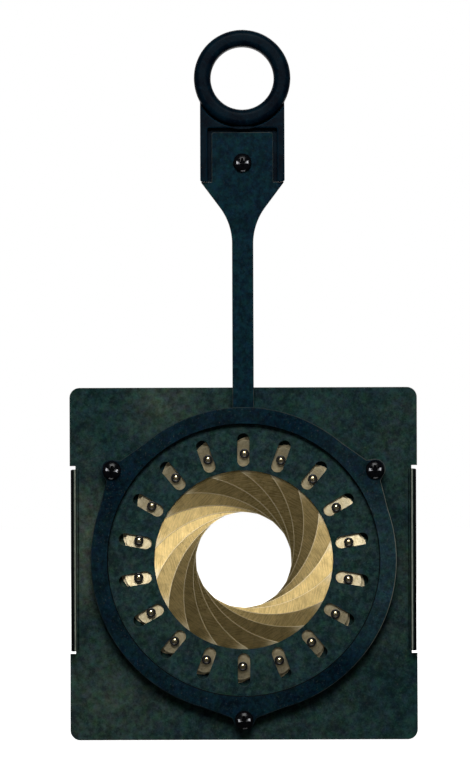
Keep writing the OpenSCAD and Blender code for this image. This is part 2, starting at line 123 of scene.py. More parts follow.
# ---------------------------------------------------------------- mesh building
class Shape:
    """Gathers vertices and faces in plan coordinates, with an edge mark and a material per face."""

    def __init__(self):
        self.v, self.f, self.edge, self.mat = [], [], [], []

    def add(self, points, mark=0.0):
        start = len(self.v)
        self.v += [tuple(p) for p in points]
        self.edge += [mark] * len(points)
        return start

    def face(self, ids, mat=0):
        self.f.append(tuple(ids))
        self.mat.append(mat)

    def band(self, a, b, n, mat=0, flip=False):
        for i in range(n):
            j = (i + 1) % n
            quad = (a + i, a + j, b + j, b + i)
            self.face(quad[::-1] if flip else quad, mat)

    def prism(self, loops, z0, z1, low=0.2, high=0.2, segments=3, mat=0, marks=(1.0, 1.0)):
        """Plate with holes: the first loop is the outline and the rest are holes.

        low and high are the rounding radii of its back and front edges."""
        rings = {}
        for n, loop in enumerate(loops):
            area = sum(p[0] * q[1] - q[0] * p[1] for p, q in zip(loop, loop[1:] + loop[:1]))
            if (area > 0) != (n == 0):
                loop = loop[::-1]
            rows = []
            steps = []
            for i in range(segments + 1 if low > 0 else 1):
                a = math.pi / 2 * i / segments if low > 0 else math.pi / 2
                steps.append((low * (1 - math.sin(a)), z0 + low * (1 - math.cos(a)), 0 < i < segments))
            for i in range(segments + 1 if high > 0 else 1):
                a = math.pi / 2 * i / segments if high > 0 else 0.0
                steps.append((high * (1 - math.cos(a)), z1 - high * (1 - math.sin(a)), 0 < i < segments))
            # Rounded rows take their loop's mark: wear from 0 to 1, painted shade below 0 and a painted
            # highlight above 1.
            for inset, z, toned in steps:
                ring = offset(loop, inset)
                rows.append(self.add([(x, y, z) for x, y in ring], marks[min(n, 1)] if toned else 0.0))
            for a, b in zip(rows, rows[1:]):
                self.band(a, b, len(loop), mat)
            rings[n] = (rows, len(loop))
        for end in (0, -1):
            flat, ids = [], []
            for n in rings:
                rows, count = rings[n]
                start = rows[end]
                flat.append([Vector((self.v[start + i][0], self.v[start + i][1], 0)) for i in range(count)])
                ids += list(range(start, start + count))
            for tri in tessellate_polygon(flat):
                p = [self.v[ids[i]] for i in tri]
                area = (p[1][0] - p[0][0]) * (p[2][1] - p[0][1]) - (p[2][0] - p[0][0]) * (p[1][1] - p[0][1])
                if abs(area) < 1e-9:
                    continue
                order = tri if (area > 0) == (end == -1) else tri[::-1]
                self.face([ids[i] for i in order], mat)

    def lathe(self, profile, cx=0.0, cy=0.0, n=48, mats=None, mark=(), closed=False):
        """Turns a profile of (radius, z) round a centre; a radius of 0 closes it."""
        rows = []
        for k, (r, z) in enumerate(profile):
            pts = [(cx + r * math.cos(2 * math.pi * i / n), cy + r * math.sin(2 * math.pi * i / n), z)
                   for i in range(n)]
            rows.append(self.add(pts if r > 1e-6 else [(cx, cy, z)], 1.0 if k in mark else 0.0))
        pairs = list(zip(range(len(rows) - 1), range(1, len(rows))))
        if closed:
            pairs.append((len(rows) - 1, 0))
        for k, m in pairs:
            mat = mats[k] if mats else 0
            ra, rb = profile[k][0] > 1e-6, profile[m][0] > 1e-6
            for i in range(n):
                j = (i + 1) % n
                if ra and rb:
                    self.face((rows[k] + i, rows[k] + j, rows[m] + j, rows[m] + i), mat)
                elif ra:
                    self.face((rows[k] + i, rows[k] + j, rows[m]), mat)
                elif rb:
                    self.face((rows[k], rows[m] + j, rows[m] + i), mat)

    def mesh(self, name, smooth=35.0):
        """Blender mesh in metres; smooth is the angle in degrees above which an edge stays sharp."""
        me = bpy.data.meshes.new(name)
        me.from_pydata([up(*p) for p in self.v], [], self.f)
        me.update()
        mark = me.attributes.new("edge", "FLOAT", "POINT")
        mark.data.foreach_set("value", np.array(self.edge, np.float32))
        me.polygons.foreach_set("material_index", self.mat)
        me.shade_smooth()
        me.set_sharp_from_angle(angle=math.radians(smooth))
        return me


def offset(loop, d):
    """Moves a loop to its inside by d, with mitred corners."""
    if d == 0:
        return list(loop)
    p = np.array(loop, float)
    e = np.roll(p, -1, 0) - p
    e /= np.maximum(np.linalg.norm(e, axis=1, keepdims=True), 1e-9)
    n = np.stack([-e[:, 1], e[:, 0]], 1)
    m = np.roll(n, 1, 0)
    s = n + m
    s /= np.maximum(1 + (n * m).sum(1, keepdims=True), 0.3)
    return [tuple(q) for q in p + d * s]


def offset_in(loop, d):
    """The same for a loop that may run either way round."""
    area = sum(p[0] * q[1] - q[0] * p[1] for p, q in zip(loop, loop[1:] + loop[:1]))
    return offset(loop if area > 0 else loop[::-1], d)


def piece(name, me, body, materials, replaces=(), weighted=True):
    """Links a mesh as one piece of the visual model."""
    ob = bpy.data.objects.new(name, me)
    bpy.context.scene.collection.objects.link(ob)
    for m in materials:
        if m.name not in [x.name for x in me.materials if x]:
            me.materials.append(m)
    if weighted:
        mod = ob.modifiers.new("weighted", "WEIGHTED_NORMAL")
        mod.keep_sharp = True
        mod.weight = 90
    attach(ob, body)
    if replaces:
        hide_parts(*replaces)
    return ob


# ---------------------------------------------------------------- materials
def material(name):
    """Empty principled material, with its node tree and shader."""
    m = bpy.data.materials.new(name)
    m.use_nodes = True
    nt = m.node_tree
    nt.nodes.clear()
    out = nt.nodes.new("ShaderNodeOutputMaterial")
    bsdf = nt.nodes.new("ShaderNodeBsdfPrincipled")
    nt.links.new(bsdf.outputs[0], out.inputs[0])
    return m, nt, bsdf


def link(nt, value, socket):
    """Links a socket, or sets a plain value."""
    if hasattr(value, "links") or isinstance(value, bpy.types.NodeSocket):
        nt.links.new(value, socket)
    else:
        socket.default_value = value


def noise(nt, vector, scale, detail=4.0, rough=0.55, distortion=0.0):
    n = nt.nodes.new("ShaderNodeTexNoise")
    n.inputs["Scale"].default_value = scale
    n.inputs["Detail"].default_value = detail
    n.inputs["Roughness"].default_value = rough
    n.inputs["Distortion"].default_value = distortion
    nt.links.new(vector, n.inputs["Vector"])
    return n.outputs["Fac"]


def ramp(nt, fac, stops):
    r = nt.nodes.new("ShaderNodeValToRGB")
    cr = r.color_ramp
    while len(cr.elements) < len(stops):
        cr.elements.new(0.5)
    for e, (pos, col) in zip(cr.elements, stops):
        e.position = pos
        e.color = (*col, 1) if isinstance(col, tuple) else (col, col, col, 1)
    nt.links.new(fac, r.inputs[0])
    return r.outputs[0]


def mix(nt, fac, a, b, blend="MIX"):
    m = nt.nodes.new("ShaderNodeMix")
    m.data_type = "RGBA"
    m.blend_type = blend
    link(nt, fac, m.inputs[0])
    for value, socket in ((a, m.inputs[6]), (b, m.inputs[7])):
        link(nt, (*value, 1) if isinstance(value, tuple) and len(value) == 3 else value, socket)
    return m.outputs[2]


def maths(nt, op, a, b=0.0, c=None):
    m = nt.nodes.new("ShaderNodeMath")
    m.operation = op
    link(nt, a, m.inputs[0])
    link(nt, b, m.inputs[1])
    if c is not None:
        link(nt, c, m.inputs[2])
    return m.outputs[0]


def bump(nt, height, strength, distance, normal=None):
    b = nt.nodes.new("ShaderNodeBump")
    b.inputs["Strength"].default_value = strength
    b.inputs["Distance"].default_value = distance
    nt.links.new(height, b.inputs["Height"])
    if normal is not None:
        nt.links.new(normal, b.inputs["Normal"])
    return b.outputs[0]


def coords(nt):
    c = nt.nodes.new("ShaderNodeTexCoord")
    return c.outputs["Object"]


def attribute(nt, name):
    a = nt.nodes.new("ShaderNodeAttribute")
    a.attribute_name = name
    return a.outputs["Fac"]


def painted(name, dark, light, patch, wear=(0.09, 0.095, 0.08), rough=0.5, patches=0.5, seed=0.0, spots=(),
            grain=1.0):
    """Worn thin paint on steel: broad patches, cloudy mottling, fine grain and rubbed edges; edge marks
    above 1 are a painted highlight and edge marks below 0 are painted shade.
    """
    m, nt, bsdf = material(name)
    shift = nt.nodes.new("ShaderNodeVectorMath")
    shift.inputs[1].default_value = (seed, seed * 0.7, -seed * 0.4)
    here = coords(nt)
    nt.links.new(here, shift.inputs[0])
    v = shift.outputs[0]
    broad = noise(nt, v, 24, 4, 0.55, 0.5)
    cloud = noise(nt, v, 150, 5, 0.65, 0.4)
    fine = noise(nt, v, 560, 5, 0.7, 0.2)
    specks = noise(nt, v, 1300, 3, 0.6)
    level = maths(nt, "ADD", maths(nt, "MULTIPLY", cloud, 0.4), maths(nt, "MULTIPLY", fine, 0.6))
    base = mix(nt, ramp(nt, level, [(0.42, 0.0), (0.6, 1.0)]), dark, light)
    cover = maths(nt, "MULTIPLY", ramp(nt, broad, [(0.42, 0.0), (0.66, 1.0)]), patches)
    for at, reach, share in spots:
        d = nt.nodes.new("ShaderNodeVectorMath")
        d.operation = "DISTANCE"
        d.inputs[1].default_value = up(*at)
        nt.links.new(here, d.inputs[0])
        near = maths(nt, "MULTIPLY_ADD", d.outputs["Value"], -1000.0 / reach, 1.0)
        near = maths(nt, "MULTIPLY", maths(nt, "MAXIMUM", near, 0.0), maths(nt, "ADD", broad, 0.55))
        cover = maths(nt, "MAXIMUM", cover, maths(nt, "MULTIPLY", near, share))
    toned = mix(nt, ramp(nt, level, [(0.4, 0.0), (0.62, 1.0)]), tuple(0.55 * c for c in patch),
               tuple(1.5 * c for c in patch))
    base = mix(nt, maths(nt, "MINIMUM", cover, 1.0), base, toned)
    base = mix(nt, maths(nt, "MULTIPLY", ramp(nt, specks, [(0.6, 0.0), (0.74, 1.0)]), 0.4 * grain), base,
               wear)
    base = mix(nt, maths(nt, "MULTIPLY", ramp(nt, specks, [(0.28, 1.0), (0.4, 0.0)]), 0.6 * grain), base,
               tuple(0.3 * c for c in dark))
    tint = nt.nodes.new("ShaderNodeTexNoise")
    tint.inputs["Scale"].default_value = 330
    tint.inputs["Detail"].default_value = 4
    nt.links.new(v, tint.inputs["Vector"])
    twice = mix(nt, 1.0, tint.outputs["Color"], tint.outputs["Color"], "ADD")
    base = mix(nt, 0.5, base, mix(nt, 1.0, base, twice, "MULTIPLY"))
    edge = attribute(nt, "edge")
    # Rubbed edge wear; where the edge marks are raised on the housing's right side, this is part of a
    # painted highlight.
    wear_and_highlight = maths(nt, "MULTIPLY", maths(nt, "MINIMUM", maths(nt, "MAXIMUM", edge, 0.0), 1.0),
                ramp(nt, cloud, [(0.35, 0.25), (0.6, 1.0)]))
    base = mix(nt, maths(nt, "MULTIPLY", wear_and_highlight, 0.75), base, wear)
    # Edge marks above 1 paint a pale highlight along a rim.
    painted_highlight = maths(nt, "MINIMUM", maths(nt, "MAXIMUM", maths(nt, "SUBTRACT", edge, 1.0), 0.0), 1.0)
    base = mix(nt, maths(nt, "MULTIPLY", painted_highlight, ramp(nt, fine, [(0.3, 0.55), (0.6, 1.0)])), base,
               (0.34, 0.37, 0.3))
    # Edge marks below 0 paint near-black shade along a rim.
    darkened = maths(nt, "MINIMUM", maths(nt, "MAXIMUM", maths(nt, "MULTIPLY", edge, -1.0), 0.0), 1.0)
    base = mix(nt, darkened, base, (0.0015, 0.002, 0.002))
    nt.links.new(base, bsdf.inputs["Base Color"])
    r = maths(nt, "MULTIPLY_ADD", fine, 0.24, rough - 0.12)
    nt.links.new(r, bsdf.inputs["Roughness"])
    bsdf.inputs["Specular IOR Level"].default_value = 0.035
    h = bump(nt, specks, 0.3 * grain, 0.0001)
    nt.links.new(bump(nt, fine, 0.25, 0.0003, h), bsdf.inputs["Normal"])
    return m


def bronze(name):
    """Tarnished rolled bronze; its grain lies one way in each leaf, so leaves catch the light in turn."""
    m, nt, bsdf = material(name)
    uv = nt.nodes.new("ShaderNodeUVMap")
    uv.uv_map = "grain"
    stretch = nt.nodes.new("ShaderNodeVectorMath")
    stretch.operation = "MULTIPLY"
    stretch.inputs[1].default_value = (1.0, 14.0, 1.0)
    nt.links.new(uv.outputs[0], stretch.inputs[0])
    lines = noise(nt, stretch.outputs[0], 14, 7, 0.78, 0.15)
    v = coords(nt)
    cloud = noise(nt, v, 70, 5, 0.6, 0.6)
    stain = noise(nt, v, 420, 5, 0.72, 0.4)
    base = mix(nt, ramp(nt, cloud, [(0.33, 0.0), (0.68, 1.0)]), (0.4, 0.295, 0.11), (0.7, 0.51, 0.215))
    base = mix(nt, maths(nt, "MULTIPLY", ramp(nt, stain, [(0.5, 0.0), (0.68, 1.0)]), 0.42), base,
               (0.2, 0.165, 0.075))
    base = mix(nt, maths(nt, "MULTIPLY", ramp(nt, lines, [(0.4, 1.0), (0.52, 0.0)]), 0.62), base,
               (0.25, 0.185, 0.08))
    base = mix(nt, maths(nt, "MULTIPLY", ramp(nt, lines, [(0.55, 0.0), (0.66, 1.0)]), 0.55), base,
               (0.78, 0.64, 0.36))
    clean = attribute(nt, "clean")
    base = mix(nt, maths(nt, "MULTIPLY", clean, maths(nt, "MULTIPLY_ADD", stain, -1.6, 1.3)), base,
               (0.92, 0.83, 0.6))
    base = mix(nt, maths(nt, "MULTIPLY", attribute(nt, "edge"), 0.8), base, (0.9, 0.78, 0.52))
    nt.links.new(base, bsdf.inputs["Base Color"])
    scuffed = maths(nt, "MULTIPLY", clean, ramp(nt, cloud, [(0.4, 0.08), (0.62, 0.42)]))
    metal = maths(nt, "SUBTRACT", maths(nt, "MULTIPLY_ADD", attribute(nt, "edge"), -0.5, 1.0), scuffed)
    nt.links.new(metal, bsdf.inputs["Metallic"])
    r = maths(nt, "MULTIPLY_ADD", stain, 0.14, 0.38)
    nt.links.new(r, bsdf.inputs["Roughness"])
    bsdf.inputs["Anisotropic"].default_value = 0.9
    t = nt.nodes.new("ShaderNodeTangent")
    t.direction_type = "UV_MAP"
    t.uv_map = "grain"
    nt.links.new(t.outputs[0], bsdf.inputs["Tangent"])
    h = bump(nt, lines, 0.1, 0.00005)
    nt.links.new(bump(nt, stain, 0.12, 0.00006, h), bsdf.inputs["Normal"])
    return m


def steel(name, colour, dirt, rough, metallic=1.0, scale=400, wear_and_highlight=None, level=0.5):
    """Steel or brass with a fine stain, lighter at its edge marks; where a colour is given for those marks,
    they are painted glints of that colour instead of wear. level is its specular level.
    """
    m, nt, bsdf = material(name)
    v = coords(nt)
    n = noise(nt, v, scale, 5, 0.65)
    base = mix(nt, ramp(nt, n, [(0.35, 0.0), (0.65, 1.0)]), dirt, colour)
    base = mix(nt, maths(nt, "MULTIPLY", attribute(nt, "edge"), 0.95 if wear_and_highlight else 0.6), base,
               wear_and_highlight or tuple(min(1, 1.5 * c + 0.03) for c in colour))
    nt.links.new(base, bsdf.inputs["Base Color"])
    bsdf.inputs["Metallic"].default_value = metallic
    bsdf.inputs["Specular IOR Level"].default_value = level
    nt.links.new(maths(nt, "MULTIPLY_ADD", n, 0.2, rough - 0.1), bsdf.inputs["Roughness"])
    nt.links.new(bump(nt, n, 0.15, 0.0001), bsdf.inputs["Normal"])
    return m


def moulded(name, colour, light, rough=0.45):
    """Fine-grained black plastic with hazy handling marks."""
    m, nt, bsdf = material(name)
    v = coords(nt)
    n = noise(nt, v, 700, 4, 0.65)
    b = noise(nt, v, 130, 5, 0.65, 0.3)
    base = mix(nt, ramp(nt, b, [(0.4, 0.0), (0.62, 1.0)]), colour, light)
    base = mix(nt, maths(nt, "MULTIPLY", ramp(nt, n, [(0.55, 0.0), (0.7, 1.0)]), 0.5), base,
               tuple(1.9 * c for c in light))
    base = mix(nt, maths(nt, "MULTIPLY", attribute(nt, "edge"), 0.4), base, tuple(2.6 * c for c in light))
    nt.links.new(base, bsdf.inputs["Base Color"])
    nt.links.new(maths(nt, "MULTIPLY_ADD", n, 0.2, rough - 0.1), bsdf.inputs["Roughness"])
    bsdf.inputs["Specular IOR Level"].default_value = 0.04
    nt.links.new(bump(nt, n, 0.3, 0.00015), bsdf.inputs["Normal"])
    return m


PLATE_PAINT = painted(
    "plate_paint", (0.0038, 0.016, 0.0175), (0.0165, 0.0465, 0.047), (0.052, 0.078, 0.06), rough=0.55,
    patches=0.25, seed=0.31,
    spots=(((-74, 4, 0), 36, 1.5), ((-35, 68, 0), 24, 0.7), ((-60, -62, 0), 44, 0.6),
           ((72, 0, 0), 26, 0.4)))
HOUSING_PAINT = painted(
    "housing_paint", (0.0, 0.0045, 0.0095), (0.001, 0.0165, 0.028), (0.014, 0.036, 0.044), rough=0.48,
    patches=0.2, seed=1.7, spots=(((63, 0, 3), 50, 1.5), ((45, 45, 3), 24, 0.5)))
CAM_PAINT = painted(
    "cam_paint", (0.0055, 0.019, 0.021), (0.0235, 0.056, 0.055), (0.026, 0.05, 0.042), rough=0.52,
    patches=0.4, seed=3.1)
LEVER_PAINT = painted(
    "lever_paint", (0.0003, 0.0085, 0.0155), (0.0035, 0.027, 0.04), (0.006, 0.026, 0.034), rough=0.5,
    patches=0.3, seed=4.9, grain=0.6)
BRONZE = bronze("leaf_bronze")
BRASS = steel("bore_brass", (0.86, 0.76, 0.5), (0.4, 0.31, 0.15), 0.22, 1.0, 1500)
STUD_STEEL = steel("stud_steel", (0.012, 0.011, 0.01), (0.004, 0.004, 0.004), 0.3, 0.2, 900)
NUT_STEEL = steel("nut_steel", (0.42, 0.41, 0.38), (0.2, 0.19, 0.17), 0.35)
# Black oxide steel; its pale colour (0.85, 0.86, 0.9) at the edge marks paints glints on the screw heads.
BLACK_OXIDE = steel("black_oxide", (0.003, 0.0033, 0.0045), (0.002, 0.002, 0.003), 0.2, 0.0, 700,
                    (0.85, 0.86, 0.9), 0.12)
MOULDING = moulded("black_moulding", (0.0001, 0.0026, 0.0068), (0.001, 0.0085, 0.0155))


# ---------------------------------------------------------------- carrier plate
def rounded_corner(cx, cy, r, a0):
    return arc(r, a0, a0 + 90, 8, cx, cy)


def carrier():
    """Carrier plate with its window, holes and two folded side flanges."""
    s = Shape()
    hw, lo, hi = PLATE_W / 2, -RISE - PLATE_H / 2, -RISE + PLATE_H / 2
    half = FLANGE_L / 2
    outer = PLATE_W / 2 - INSET
    fold = FOLD_R + PLATE_T
    side = [(hw, -half - RELIEF_W), (hw - RELIEF_D, -half - RELIEF_W), (hw - RELIEF_D, -half),
            (outer - fold, -half)]
    right = side + [(x, -y) for x, y in side[::-1]]
    left = [(-x, -y) for x, y in right]
    c = CORNER
    outline = rounded_corner(hw - c, lo + c, c, -90) + right + rounded_corner(hw - c, hi - c, c, 0)
    outline += rounded_corner(c - hw, hi - c, c, 90) + left + rounded_corner(c - hw, lo + c, c, 180)
    holes = [circle(WINDOW_R, n=144)]
    holes += [circle(HOLE_R, *turn(SCREW_R, 0, a), n=32) for a in EARS]
    holes += [circle(PIVOT_D / 2 + 0.05, *turn(PIVOT_R, 0, FIRST_PIVOT + STEP * k), n=24)
              for k in range(LEAVES)]
    s.prism([outline] + holes, -PLATE_T, 0, 0.3, 0.3)
    # the folded flanges: a strip bent round fold_r, with eased edges
    prof = []
    n = 10
    t = PLATE_T
    e = 0.35
    x0 = outer - fold
    for i in range(n + 1):
        a = math.radians(-90 + 90 * i / n)
        prof.append((x0 + fold * math.cos(a), FOLD_R + fold * math.sin(a)))
    top = FLANGE_H
    prof.append((outer, top - e))
    for b in (30, 60, 90):
        prof.append((outer - e + e * math.cos(math.radians(b)), top - e + e * math.sin(math.radians(b))))
    w = 0.9
    prof.append((outer - t + w, top))
    for b in (110, 130, 150, 180):
        prof.append((outer - t + w + w * math.cos(math.radians(b)),
                     top - w + w * math.sin(math.radians(b))))
    for i in range(n + 1):
        a = math.radians(0 - 90 * i / n)
        prof.append((x0 + FOLD_R * math.cos(a), FOLD_R + FOLD_R * math.sin(a)))
    prof += [(x0 - 0.6, 0.0), (x0 - 0.6, -PLATE_T)]
    # The flange's front edge: -1 paints its outer part near-black shade, 1.0 to 2.0 paint a pale highlight
    # line along its inner rounding.
    marks = {n + 3: -1.0, n + 4: -1.0, n + 5: -1.0, n + 6: 1.6, n + 7: 2.0, n + 8: 2.0, n + 9: 1.0}
    for sign in (1, -1):
        rows = []
        for y, inset in ((-half, 0.3), (-half + 0.12, 0.09), (-half + 0.3, 0.0), (half - 0.3, 0.0),
                         (half - 0.12, 0.09), (half, 0.3)):
            ring = offset(prof, inset)
            rows.append(s.add([(sign * x, y, z) for x, z in ring]))
            for k, mark in marks.items():
                s.edge[rows[-1] + k] = mark
        m = len(prof)
        for a, b in zip(rows, rows[1:]):
            s.band(a, b, m, flip=sign > 0)
        for r, flip in ((rows[0], sign < 0), (rows[-1], sign > 0)):
            ids = list(range(r, r + m))
            s.face(ids[::-1] if flip else ids)
    me = s.mesh("carrier_plate_body", 32)
    bm = bmesh.new()
    bm.from_mesh(me)
    bmesh.ops.recalc_face_normals(bm, faces=bm.faces)
    bm.to_mesh(me)
    bm.free()
    return piece("carrier_plate_body", me, "carrier", [PLATE_PAINT], ["carrier_plate"])


def corner(a, b, far):
    """Angle in degrees between sides a and b of a triangle whose third side is far."""
    return math.degrees(math.acos((a * a + b * b - far * far) / (2 * a * b)))


CENTRE_R = LEAF_IN - APERTURE_R
LEAF_TURN = corner(PIVOT_R, STUD_ARC, CENTRE_R)
CLOSED_TURN = corner(PIVOT_R, STUD_ARC, LEAF_IN - CLOSED_R)
P2G = corner(PIVOT_R, CENTRE_R, STUD_ARC) + corner(GUIDE_R, CENTRE_R, STUD_ARC)
FAR = math.sqrt(PIVOT_R ** 2 + GUIDE_R ** 2 - 2 * PIVOT_R * GUIDE_R * math.cos(math.radians(P2G)))
SPAN = 2 * math.degrees(math.asin(FAR / 2 / STUD_ARC))
FIRST_PIVOT = FIRST_SLOT + P2G - math.degrees(math.asin(LAG / GUIDE_R))
AX = STUD_ARC - PIVOT_R * math.cos(math.radians(CLOSED_TURN))
AY = PIVOT_R * math.sin(math.radians(CLOSED_TURN))
AXIS_R, AXIS_A = math.hypot(AX, AY), math.degrees(math.atan2(AY, AX))


# ---------------------------------------------------------------- leaves
def arch(u):
    """Half width of a round tip at share u of its length."""
    return max(math.sqrt(max(1 - u * u, 0)), 0.05)


def leaf_edges(a):
    """Inner and outer radius of the leaf at a degrees from its pivot."""
    if a < 0:
        h = arch(-a / PIVOT_TIP) * (LEAF_OUT - LEAF_IN) / 2
        return (LEAF_IN + LEAF_OUT) / 2 - h, (LEAF_IN + LEAF_OUT) / 2 + h
    if a <= SPAN:
        d = SPAN - a
        tab = (TAB_OUT - LEAF_OUT) * (1 + math.cos(math.pi * d / TAB_RUN)) / 2 if d < TAB_RUN else 0
        return LEAF_IN, LEAF_OUT + tab
    h = arch((a - SPAN) / GUIDE_TIP) * (TAB_OUT - LEAF_IN) / 2
    return (LEAF_IN + TAB_OUT) / 2 - h, (LEAF_IN + TAB_OUT) / 2 + h


def leaf_rise(a, r):
    """Height of the leaf: it climbs along its length and about the optical axis when closed."""
    def about(a, r):
        b = math.radians(a - AXIS_A)
        return math.degrees(math.atan2(r * math.sin(b), r * math.cos(b) - AXIS_R)) + AXIS_A
    return RISE_OWN * a + RISE_AXIS * about(a, r)


def leaf_stations():
    """Angles of the rows of the leaf mesh, closer together at the round tips."""
    tips = [math.sin(math.radians(b)) for b in (12, 24, 36, 48, 58, 67, 75, 82, 87)]
    s = [-PIVOT_TIP * u for u in [1.0] + tips[::-1]] + list(np.arange(0, SPAN - 0.5, 1.6))
    return s + [SPAN] + [SPAN + GUIDE_TIP * u for u in tips + [1.0]]


STATIONS = leaf_stations()
LEAF_Z = LEAF_LIFT - min(leaf_rise(a, r) for a in STATIONS for r in leaf_edges(a))
GRAIN, GRAIN_TURN = math.radians(51), math.radians(11)


def leaf_points():
    """Rows across the leaf: a narrow burnished strip at each long edge, and the flat between."""
    s = Shape()
    n = len(STATIONS)
    marks = (1.0, 0.7, 0.0, 0.0, 0.0, 0.0, 0.0, 0.4, 0.6)
    m = len(marks)
    for side in (0, 1):
        for a in STATIONS:
            lo, hi = leaf_edges(a)
            w = hi - lo
            rows = [lo, lo + min(0.16, w * 0.1), lo + min(0.3, w * 0.2), lo + w * 0.3, lo + w * 0.5,
                    lo + w * 0.7,
                    hi - min(0.3, w * 0.2), hi - min(0.16, w * 0.1), hi]
            for k, r in enumerate(rows):
                s.v.append((r * math.cos(math.radians(a)), r * math.sin(math.radians(a)),
                            leaf_rise(a, r) + LEAF_Z + side * LEAF_T))
                s.edge.append(marks[k])
    top = n * m
    for i in range(n - 1):
        for j in range(m - 1):
            p = i * m + j
            s.face((p, p + 1, p + m + 1, p + m))
            s.face((top + p, top + p + m, top + p + m + 1, top + p + 1))
        for j, flip in ((0, False), (m - 1, True)):
            p = i * m + j
            q = (p, p + m, top + p + m, top + p)
            s.face(q[::-1] if flip else q)
    for i, flip in ((0, True), (n - 1, False)):
        for j in range(m - 1):
            p = i * m + j
            q = (p, p + 1, top + p + 1, top + p)
            s.face(q[::-1] if flip else q)
    return s


def leaf_matrix(k):
    """Place of leaf k, from its own arc centre, in the shared frame."""
    around = Matrix.Rotation(math.radians(FIRST_PIVOT + STEP * (k - 1)), 4, "Z")
    swung = Matrix.Rotation(math.radians(LEAF_TURN), 4, "Z")
    plan = around @ Matrix.Translation((PIVOT_R / 1000, 0, 0))
    plan = plan @ swung @ Matrix.Translation((-STUD_ARC / 1000, 0, 0))
    tilt = Matrix.Rotation(math.radians(90), 4, "X")
    return tilt @ plan @ tilt.inverted()


def leaf_clean(me):
    """The ends of a leaf, always under the cam ring, keep their first brightness."""
    at = me.attributes.new("clean", "FLOAT", "POINT")
    values = []
    for v in me.vertices:
        a = math.degrees(math.atan2(v.co.z, v.co.x))
        d = min(abs(a + PIVOT_TIP), abs(SPAN + GUIDE_TIP - a))
        values.append(max(0.0, min(1.0, (15 - d) / 6)))
    at.data.foreach_set("value", values)


def leaf_uv(me, k):
    """Grain direction of leaf k; those on one side were cut from the sheet at a slightly other angle."""
    layer = me.uv_layers.new(name="grain")
    g = GRAIN + GRAIN_TURN * max(0.0, math.cos(math.radians(STEP * (k - 1))))
    c, s = math.cos(g), math.sin(g)
    for loop in me.loops:
        co = me.vertices[loop.vertex_index].co
        x, y = co.x * 10, co.z * 10
        layer.data[loop.index].uv = (x * c + y * s + 0.5, -x * s + y * c + 0.5)


def stud_shape():
    """Pivot stud behind a leaf and hollow-headed guide stud before it."""
    s = Shape()
    low = leaf_rise(0, STUD_ARC) + LEAF_Z
    high = leaf_rise(SPAN, STUD_ARC) + LEAF_Z
    # pivot stud behind the leaf, with an eased end
    r = PIVOT_D / 2
    s.lathe([(0, 0.12 - PLATE_T), (r - 0.35, 0.1 - PLATE_T), (r - 0.1, 0.2 - PLATE_T), (r, 0.4 - PLATE_T),
             (r, low - 0.03), (0, low - 0.03)],
            STUD_ARC, 0, 28, mark=(1, 2))
    # peened neck of the pivot in front of the leaf
    s.lathe([(0, low + LEAF_T + 0.12), (0.75, low + LEAF_T + 0.1), (1.0, low + LEAF_T + 0.02),
             (1.05, low + LEAF_T - 0.02),
             (0, low + LEAF_T - 0.02)][::-1],
            STUD_ARC, 0, 20)
    x, y = STUD_ARC * math.cos(math.radians(SPAN)), STUD_ARC * math.sin(math.radians(SPAN))
    hr, br, z1 = HEAD_D / 2, BORE_D / 2, STUD_TOP
    z0 = z1 - HEAD_H
    prof = [(0, high + LEAF_T), (STUD_D / 2, high + LEAF_T), (STUD_D / 2, z0), (hr - 0.12, z0),
            (hr, z0 + 0.1), (hr, z1 - 0.16), (hr - 0.06, z1 - 0.05),
            (hr - 0.16, z1), (br + 0.12, z1), (br + 0.03, z1 - 0.04), (br, z1 - 0.12),
            (br - 0.02, z1 - 0.42)]
    dome = 2.3
    for share in (0.93, 0.8, 0.66, 0.5, 0.34, 0.17, 0.0):
        prof.append((br * share, z1 - 0.08 - (dome - math.sqrt(dome ** 2 - (br * share) ** 2))))
    mats = [0] * 11 + [1] * 7
    s.lathe(prof, x, y, 32, mats=mats, mark=(9,))
    return s


def ride_leaf(k, name, me, materials, node):
    """One piece on the body of leaf k."""
    ob = bpy.data.objects.new(name, me)
    bpy.context.scene.collection.objects.link(ob)
    for m in materials:
        me.materials.append(m)
    ob.matrix_world = leaf_matrix(k)
    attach(ob, f"leaf_body_{k:02d}")
    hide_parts(node)


def leaves():
    shape = leaf_points()
    for k in range(1, LEAVES + 1):
        me = shape.mesh(f"leaf_sheet_{k:02d}", 40)
        leaf_uv(me, k)
        leaf_clean(me)
        ride_leaf(k, f"leaf_sheet_{k:02d}", me, [BRONZE], f"leaf_{k:02d}")
    studs = stud_shape()
    for k in range(1, LEAVES + 1):
        me = studs.mesh(f"leaf_rivets_{k:02d}", 40)
        ride_leaf(k, f"leaf_rivets_{k:02d}", me, [STUD_STEEL, BRASS], f"leaf_studs_{k:02d}")


# ---------------------------------------------------------------- cam ring
def slot_loop(angle):
    """Outline of one cam slot."""
    r = SLOT_W / 2
    loop = arc(r, 90, 270, 14, SLOT_IN + r, 0) + arc(r, -90, 90, 14, SLOT_OUT - r, 0)
    return [turn(x, y, angle) for x, y in loop]


def cam():
    """Cam ring with a slot for each guide stud."""
    s = Shape()
    outer = WALL_OUT - WALL_T - 0.08
    loops = [circle(outer, n=180), circle(CAM_IN, n=180)]
    loops += [slot_loop(FIRST_SLOT + STEP * k) for k in range(LEAVES)]
    s.prism(loops, CAM_Z, CAM_Z + CAM_T, 0.15, 0.15, marks=(0.0, 0.45))
    return piece("cam_ring_plate", s.mesh("cam_ring_plate"), "cam", [CAM_PAINT], ["cam_ring"])


